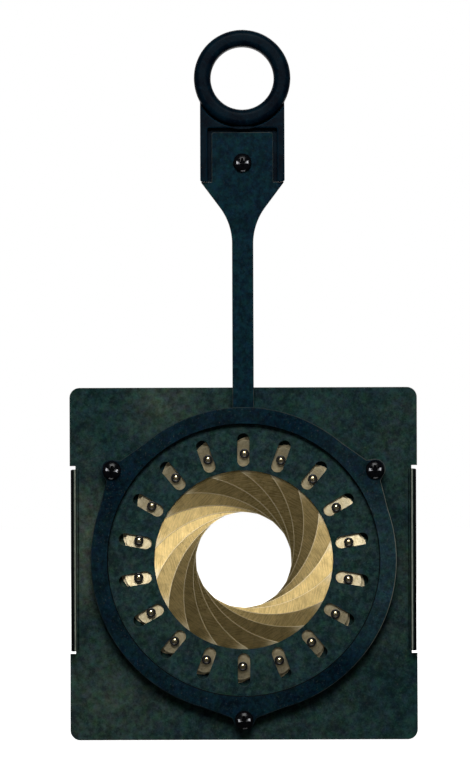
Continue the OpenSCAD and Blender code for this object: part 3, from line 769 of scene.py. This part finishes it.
# ---------------------------------------------------------------- housing ring
def ear_reach(b):
    """How far the ear reaches along a ray b degrees from its middle."""
    dx, dy = math.cos(math.radians(b)), math.sin(math.radians(b))
    best = LIP_OUT
    disc = EAR_R ** 2 - (SCREW_R * dy) ** 2
    if disc > 0:
        best = max(best, SCREW_R * dx + math.sqrt(disc))
    base = math.sqrt(LIP_OUT ** 2 - EAR_FLARE ** 2) - 0.25
    pts = [(base, EAR_FLARE), (SCREW_R - EAR_R / 6, EAR_HALF), (SCREW_R + 0.45 * EAR_R, 0.86 * EAR_R)]
    y = abs(dy)
    for (x0, y0), (x1, y1) in zip(pts, pts[1:]):
        det = dx * (y1 - y0) - y * (x1 - x0)
        if abs(det) < 1e-9:
            continue
        u = (x0 * y - y0 * dx) / det
        if 0 <= u <= 1:
            px, py = x0 + u * (x1 - x0), y0 + u * (y1 - y0)
            best = max(best, math.hypot(px, py))
    return best


def housing():
    """Housing ring: lip with three flared ears, guiding wall and inner step."""
    s = Shape()
    loop = []
    a = 0.0
    while a < 360 - 1e-6:
        near = min((abs((a - e + 180) % 360 - 180), (a - e + 180) % 360 - 180) for e in EARS)
        r = ear_reach(near[1]) if near[0] < 22 else LIP_OUT
        loop.append(turn(r, 0, a))
        a += 0.25 if near[0] < 7 else 1.0 if near[0] < 22 else 2.0
    holes = [circle(LIP_IN, n=180)] + [circle(HOLE_R, *turn(SCREW_R, 0, e), n=24) for e in EARS]
    # The lip's inner rim and screw holes get -1, painted near-black shade.
    s.prism([loop] + holes, LIP_Z, LIP_TOP, 0.15, 0.4, 4, marks=(0.5, -1.0))
    # The outer rim's marks rise towards the right side of the ring: wear on the left, a painted highlight
    # along the right edge.
    for i, (x, y, z) in enumerate(s.v):
        if s.edge[i] > 0:
            s.edge[i] = 0.3 + 1.2 * max(0.0, x / math.hypot(x, y)) ** 2
    # the wall leaves a window for the lever's swing
    a0, a1 = 90 + SWING[1] + LEVER_GAP, 90 + 360 + SWING[0] - LEVER_GAP
    wall = arc(WALL_OUT, a0, a1, 150) + arc(WALL_OUT - WALL_T, a1, a0, 150)
    s.prism([wall], 0, LIP_Z + 0.3, 0.1, 0)
    step = arc(WALL_OUT - 0.2, a0, a1, 150) + arc(WALL_OUT - WALL_T - 2.2, a1, a0, 150)
    s.prism([step], LEVER_Z + 0.1, LIP_Z + 0.3, 0.1, 0)
    return piece("housing_ring_shell", s.mesh("housing_ring_shell"), "carrier", [HOUSING_PAINT],
                 ["housing_ring"])


# ---------------------------------------------------------------- lever
def lever():
    """Lever strip from its foot under the lip to its wide head."""
    s = Shape()
    half = LEVER_W / 2
    ta = math.radians(TAPER)
    neck = (NECK - half) / (1 - math.cos(ta))
    taper_z = SHOULDER_Z - (SHOULDER - NECK) / math.tan(ta)
    foot = LIP_IN + 0.5
    right = [(half, foot + 1)]
    right += [(half + neck * (1 - math.cos(ta * i / 16)),
               taper_z - neck * (math.sin(ta) - math.sin(ta * i / 16)))
              for i in range(17)]
    right += [(SHOULDER - 0.25, SHOULDER_Z - 0.33), (SHOULDER - 0.1, SHOULDER_Z - 0.05),
              (SHOULDER - 0.4, SHOULDER_Z), (HEAD_W / 2 + 0.3, SHOULDER_Z), (HEAD_W / 2, SHOULDER_Z + 0.3)]
    right += arc(1.0, 0, 90, 5, HEAD_W / 2 - 1, SHOULDER_Z + HEAD_L - 1)
    foot_arc = arc(1.0, 270, 360, 5, half - 1, foot + 1)
    loop = foot_arc[:-1] + right
    loop = loop + [(-x, y) for x, y in loop[::-1]]
    s.prism([loop], LEVER_Z, LEVER_Z + LEVER_T, 0.2, 0.28, 3)
    return piece("lever_strip", s.mesh("lever_strip"), "cam", [LEVER_PAINT], ["lever"])


# ---------------------------------------------------------------- handle
def handle():
    """Moulded handle: finger ring, block with a nut pocket, and frame round the head."""
    s = Shape()
    # finger ring, a rounded section turned round the hole
    w, t, r = (RING_OUT - RING_IN), RING_T, 2.6
    mid = (RING_OUT + RING_IN) / 2
    prof = []
    for cx, cz, a0 in ((w / 2 - r, t / 2 - r, 0), (r - w / 2, t / 2 - r, 90), (r - w / 2, r - t / 2, 180),
                       (w / 2 - r, r - t / 2, 270)):
        prof += [(mid + cx + r * math.cos(math.radians(a0 + 90 * i / 8)),
                  RING_MID + cz + r * math.sin(math.radians(a0 + 90 * i / 8))) for i in range(9)]
    s.lathe(prof, 0, RING_Z, 120, closed=True)
    # block, and the raised frame round the lever's head
    hw, low = GRIP_W / 2, SHOULDER_Z + 0.1
    c = 0.8
    base = [(hw - c, low), (hw, low + c), (hw, RING_Z - 8.2)] + arc(16.6, -27, -153, 24, 0, RING_Z)
    base += [(-hw, RING_Z - 8.2), (-hw, low + c), (c - hw, low)]
    pocket = circle(NUT_AF / math.sqrt(3) + 0.12, 0, SCREW_Z, 6)
    s.prism([base, pocket], GRIP_BACK, GRIP_BACK + 3.5, 0.6, 0.0, 4)
    s.prism([offset_in(base, 0.01), circle(HOLE_R, 0, SCREW_Z, 32)], GRIP_BACK + 3.3, LEVER_Z, 0.0, 0.0)
    pw = HEAD_W / 2 + GROOVE
    top = SHOULDER_Z + HEAD_L + GROOVE
    gap = RING_OUT + 0.75
    a1 = math.degrees(math.asin((hw - 0.01) / gap))
    frame_loop = [(hw - c, low), (hw, low + c)] + arc(gap, -90 + a1, -90 - a1, 28, 0, RING_Z)
    frame_loop += [(-hw, low + c), (c - hw, low), (-pw, low)]
    frame_loop += arc(0.9, 180, 90, 4, -pw + 0.9, top - 0.9) + arc(0.9, 90, 0, 4, pw - 0.9, top - 0.9)
    frame_loop.append((pw, low))
    s.prism([frame_loop], LEVER_Z, GRIP_FRONT, 0.0, 0.55, 4)
    me = s.mesh("handle_moulding", 38)
    return piece("handle_moulding", me, "cam", [MOULDING], ["handle"])


# ---------------------------------------------------------------- fasteners
def screw_mesh(name, length, tail):
    """Pan-head screw with a cross recess; its seat is at z = 0 and its threaded shank runs down."""
    s = Shape()
    head, h, dome = 8.0, 2.7, 7.5
    cz = h - dome
    rim = head / 2
    z_rim = min(cz + math.sqrt(dome ** 2 - rim ** 2), h * 0.72)
    prof = [(0, 0.0), (rim - 0.25, 0.0), (rim - 0.06, 0.08), (rim, 0.25), (rim, z_rim - 0.35),
            (rim - 0.1, z_rim - 0.08)]
    for i in range(1, 13):
        a = math.asin((rim - 0.35) / dome) * (1 - i / 12)
        prof.append((dome * math.sin(a), cz + dome * math.cos(a)))
    s.lathe(prof, 0, 0, 64)
    me = s.mesh(name + "_head", 40)
    ob = bpy.data.objects.new("cut", me)
    bpy.context.scene.collection.objects.link(ob)
    k = Shape()
    for turned in (0, 90):
        lo, hi = h - 1.7, h + 1.0
        ring = []
        for z, a, b in ((lo, 0.9, 0.32), (h - 0.5, 1.9, 0.5), (hi, 2.25, 0.56)):
            ring.append(k.add([(*turn(x, y, turned), z) for x, y in ((a, -b), (a, b), (-a, b), (-a, -b))]))
        for p, q in zip(ring, ring[1:]):
            k.band(p, q, 4)
        k.face([ring[0] + i for i in (3, 2, 1, 0)])
        k.face([ring[-1] + i for i in (0, 1, 2, 3)])
    cm = k.mesh(name + "_cross")
    co = bpy.data.objects.new("cross", cm)
    bpy.context.scene.collection.objects.link(co)
    mod = ob.modifiers.new("cut", "BOOLEAN")
    mod.operation, mod.object, mod.solver, mod.use_self = "DIFFERENCE", co, "EXACT", True
    bpy.context.view_layer.update()
    done = bpy.data.meshes.new_from_object(ob.evaluated_get(bpy.context.evaluated_depsgraph_get()))
    for o in (ob, co):
        bpy.data.objects.remove(o)
    # shank: plain to the tail, then a real thread
    t = Shape()
    rows, n, pitch = int(tail / 0.07), 32, 0.7
    t.lathe([(0, 0.05), (SHANK_R, 0.05), (SHANK_R, -(length - tail))], n=n)
    prev = len(t.v) - n
    for i in range(rows + 1):
        z = -(length - tail) - tail * i / rows
        ease = min(1.0, max(0.0, (tail * (1 - i / rows)) / 0.35))
        ring = []
        for j in range(n):
            ph = (z / pitch + j / n) % 1.0
            depth = 0.38 * (1 - abs(2 * ph - 1))
            r = (SHANK_R - depth) * (0.82 + 0.18 * ease)
            ring.append((r * math.cos(2 * math.pi * j / n), r * math.sin(2 * math.pi * j / n), z))
        row = t.add(ring)
        t.band(row, prev, n)
        prev = row
    t.face([prev + j for j in range(n)][::-1])
    shank = t.mesh(name + "_shank", 30)
    bm = bmesh.new()
    bm.from_mesh(done)
    bm.from_mesh(shank)
    out = bpy.data.meshes.new(name)
    bm.to_mesh(out)
    bm.free()
    out.shade_smooth()
    out.set_sharp_from_angle(angle=math.radians(38))
    # painted glints in the edge marks: pale spots at the two ends of the recess, and one low on the rim
    painted_glints = []
    for v in out.vertices:
        x, y, z = v.co.x * 1000, v.co.z * 1000, -v.co.y * 1000
        ends = z > h - 0.8 and math.hypot(abs(x) - 2.1, y) < 0.62
        glint_on_rim = z > 0.1 and y < 0 and math.hypot(x, y) > 3.5 and abs(x) < 0.8
        painted_glints.append(0.85 if ends else 0.6 if glint_on_rim else 0.0)
    edge = out.attributes.get("edge") or out.attributes.new("edge", "FLOAT", "POINT")
    edge.data.foreach_set("value", painted_glints)
    return out


def joined(name, me, places):
    """One mesh with copies of me at plan places (x, y, z, turn)."""
    bm = bmesh.new()
    for x, y, z, a in places:
        part = me.copy()
        tilt = Matrix.Rotation(math.radians(90), 4, "X")
        plan = Matrix.Translation((x / 1000, y / 1000, z / 1000)) @ Matrix.Rotation(math.radians(a), 4, "Z")
        part.transform(tilt @ plan @ tilt.inverted())
        bm.from_mesh(part)
    out = bpy.data.meshes.new(name)
    bm.to_mesh(out)
    bm.free()
    out.shade_smooth()
    out.set_sharp_from_angle(angle=math.radians(38))
    return out


def nut_mesh(name):
    """Hexagon nut, chamfered at both faces."""
    s = Shape()
    af, h, n = NUT_AF, NUT_H, 72

    def hexr(i):
        a = (360 * i / n + 30) % 60 - 30
        return af / 2 / math.cos(math.radians(a))

    def ring(r_of, z_of):
        return s.add([(r_of(i) * math.cos(2 * math.pi * i / n), r_of(i) * math.sin(2 * math.pi * i / n),
                       z_of(i)) for i in range(n)])

    def drop(i):
        return (hexr(i) - af / 2 * 0.97) * 0.5

    # bore, chamfered mouth, flat and corners, from the low face to the high one
    rows = [ring(lambda i: 2.05, lambda i: 0.35), ring(lambda i: 2.35, lambda i: 0.0),
            ring(lambda i: af / 2 * 0.95, lambda i: 0.0), ring(hexr, drop),
            ring(hexr, lambda i: h - drop(i)),
            ring(lambda i: af / 2 * 0.95, lambda i: h), ring(lambda i: 2.35, lambda i: h),
            ring(lambda i: 2.05, lambda i: h - 0.35)]
    for a, b in zip(rows, rows[1:]):
        s.band(a, b, n)
    s.band(rows[-1], rows[0], n)
    return s.mesh(name, 25)


def fasteners():
    """Screws, nuts, spacer sleeves and the rivet in the lip."""
    screw = screw_mesh("housing_screw", LIP_TOP + PLATE_T + NUT_H + 0.6, 4.0)
    places = [(*turn(SCREW_R, 0, a), LIP_TOP, t) for a, t in zip(EARS, (3, -7, 5))]
    piece("housing_screw_set", joined("housing_screw_set", screw, places), "carrier",
          [BLACK_OXIDE], ["housing_screws"], False)
    short = screw_mesh("grip_screw_one", LEVER_Z + LEVER_T - GRIP_BACK - 0.4, 2.5)
    piece("grip_screw", joined("grip_screw", short, [(0, SCREW_Z, LEVER_Z + LEVER_T, 4)]), "cam",
          [BLACK_OXIDE], ["handle_screw"], False)
    nut = nut_mesh("hex_nut_one")
    places = [(*turn(SCREW_R, 0, a), -PLATE_T - NUT_H, t) for a, t in zip(EARS, (0, 12, -8))]
    piece("hex_nut_set", joined("hex_nut_set", nut, places), "carrier", [NUT_STEEL],
          ["housing_nuts"], False)
    piece("grip_nut", joined("grip_nut", nut, [(0, SCREW_Z, GRIP_BACK + 0.1, 0)]), "cam",
          [NUT_STEEL], ["handle_nut"], False)
    s = Shape()
    for a in EARS:
        x, y = turn(SCREW_R, 0, a)
        s.lathe([(HOLE_R, 0.3), (2.4, 0.0), (3.0, 0.0), (3.2, 0.25), (3.2, LIP_Z - 0.25), (3.0, LIP_Z),
                 (2.4, LIP_Z), (HOLE_R, LIP_Z - 0.3)],
                x, y, 40, mark=(2, 3, 4, 5), closed=True)
    piece("spacer_sleeves", s.mesh("spacer_sleeves", 30), "carrier", [HOUSING_PAINT],
          ["housing_spacers"], False)
    s = Shape()
    z = LIP_TOP
    s.lathe([(0, z), (1.5, z), (1.5, z + 0.12), (1.38, z + 0.26), (1.1, z + 0.36), (0.8, z + 0.39),
             (0.62, z + 0.36), (0.5, z + 0.24), (0.3, z + 0.14), (0, z + 0.1)],
            0, -LIP_RIVET_R, 32)
    piece("lip_rivet_head", s.mesh("lip_rivet_head", 40), "carrier", [HOUSING_PAINT],
          ["lip_rivet"], False)


carrier()
leaves()
cam()
housing()
lever()
handle()
fasteners()
lever_rivets = frame["nodes"]["lever_rivets"]
lever_rivets.data.materials.clear()
lever_rivets.data.materials.append(BLACK_OXIDE)


# ---------------------------------------------------------------- stage, lights and camera
def seen_directly(nt, glossy=None):
    """1 for rays that see the background itself; glossy rays count too, where glossy lets them."""
    path = nt.nodes.new("ShaderNodeLightPath")
    seen = maths(nt, "MAXIMUM", path.outputs["Is Camera Ray"], path.outputs["Is Transmission Ray"])
    shiny = path.outputs["Is Glossy Ray"]
    if glossy is not None:
        shiny = maths(nt, "MULTIPLY", shiny, glossy)
    return maths(nt, "MAXIMUM", seen, shiny)


def floor():
    """Floor that looks white from the camera and keeps the shadow of the object."""
    me = bpy.data.meshes.new("floor")
    z = -(RISE + PLATE_H / 2) / 1000
    me.from_pydata([(-3, -3, z), (3, -3, z), (3, 3, z), (-3, 3, z)], [], [(0, 1, 2, 3)])
    ob = bpy.data.objects.new("floor", me)
    bpy.context.scene.collection.objects.link(ob)
    m, nt, bsdf = material("floor_white")
    bsdf.inputs["Base Color"].default_value = (0.85, 0.85, 0.85, 1)
    bsdf.inputs["Roughness"].default_value = 0.9
    bsdf.inputs["Specular IOR Level"].default_value = 0.0
    here = nt.nodes.new("ShaderNodeTexCoord").outputs["Object"]
    far = nt.nodes.new("ShaderNodeVectorMath")
    far.operation = "LENGTH"
    nt.links.new(here, far.inputs[0])
    em = nt.nodes.new("ShaderNodeEmission")
    em.inputs[0].default_value = (1, 1, 1, 1)
    nt.links.new(maths(nt, "MINIMUM", maths(nt, "MULTIPLY_ADD", far.outputs["Value"], 0.5, 0.72), 1.0),
                 em.inputs[1])
    add = nt.nodes.new("ShaderNodeAddShader")
    sw = nt.nodes.new("ShaderNodeMixShader")
    darkened = nt.nodes.new("ShaderNodeBsdfDiffuse")
    darkened.inputs[0].default_value = (0.12, 0.12, 0.12, 1)
    part = nt.nodes.new("ShaderNodeSeparateXYZ")
    nt.links.new(here, part.inputs[0])
    nt.links.new(seen_directly(nt, ramp(nt, part.outputs[1], [(0.2, 0.0), (0.5, 1.0)])), sw.inputs[0])
    nt.links.new(darkened.outputs[0], sw.inputs[1])
    nt.links.new(bsdf.outputs[0], add.inputs[0])
    nt.links.new(em.outputs[0], add.inputs[1])
    nt.links.new(add.outputs[0], sw.inputs[2])
    out = next(n for n in nt.nodes if n.type == "OUTPUT_MATERIAL")
    nt.links.new(sw.outputs[0], out.inputs[0])
    me.materials.append(m)


def world():
    """A dim studio in front of the object and a white backdrop behind it."""
    w = bpy.data.worlds.new("studio")
    bpy.context.scene.world = w
    w.use_nodes = True
    nt = w.node_tree
    nt.nodes.clear()
    out = nt.nodes.new("ShaderNodeOutputWorld")
    way = nt.nodes.new("ShaderNodeTexCoord").outputs["Generated"]
    part = nt.nodes.new("ShaderNodeSeparateXYZ")
    nt.links.new(way, part.inputs[0])
    behind = ramp(nt, part.outputs[1], [(0.25, 0.0), (0.5, 1.0)])
    dim = nt.nodes.new("ShaderNodeBackground")
    white = nt.nodes.new("ShaderNodeBackground")
    sw = nt.nodes.new("ShaderNodeMixShader")
    dim.inputs[0].default_value = (0.86, 1, 0.93, 1)
    dim.inputs[1].default_value = 0.045
    white.inputs[0].default_value = (1, 1, 1, 1)
    white.inputs[1].default_value = 1.0
    nt.links.new(seen_directly(nt, behind), sw.inputs[0])
    nt.links.new(dim.outputs[0], sw.inputs[1])
    nt.links.new(white.outputs[0], sw.inputs[2])
    nt.links.new(sw.outputs[0], out.inputs[0])


def lamp(name, at, target, size, power):
    """Rectangular area lamp that faces a target."""
    d = bpy.data.lights.new(name, "AREA")
    d.shape = "RECTANGLE"
    d.size, d.size_y = size
    d.energy = power
    ob = bpy.data.objects.new(name, d)
    bpy.context.scene.collection.objects.link(ob)
    ob.location = at
    ob.rotation_euler = (Vector(target) - Vector(at)).to_track_quat("-Z", "Y").to_euler()


def camera():
    """Front view at the scale of the photograph."""
    cam = bpy.data.cameras.new("camera")
    ob = bpy.data.objects.new("camera", cam)
    bpy.context.scene.collection.objects.link(ob)
    dist = 2.0
    cam.sensor_fit = "VERTICAL"
    cam.sensor_height = 24.0
    cam.lens = 24.0 * dist / (VIEW_PX * MM_PER_PX / 1000)
    cam.clip_start, cam.clip_end = 0.05, 20
    ob.location = (-0.00355, -dist, 0.0746)
    ob.rotation_euler = (math.radians(90), math.radians(0.19), 0)
    bpy.context.scene.camera = ob


floor()
world()
middle = (0, 0, 0.04)
lamp("key_top", (0.0, -1.2, 0.78), middle, (0.62, 0.5), 14)
lamp("side_left", (-1.25, -0.75, 0.25), middle, (0.25, 0.8), 0.4)
lamp("side_right", (1.25, -0.75, 0.25), middle, (0.25, 0.8), 0.4)
lamp("glint_left", (-0.6, -1.25, 0.1), middle, (0.06, 0.06), 0.12)
lamp("glint_right", (0.62, -1.25, 0.12), middle, (0.06, 0.06), 0.12)
lamp("back_fill", (0.2, 1.2, 0.9), middle, (1.2, 0.8), 12)
camera()
bpy.context.scene.view_settings.view_transform = "Standard"
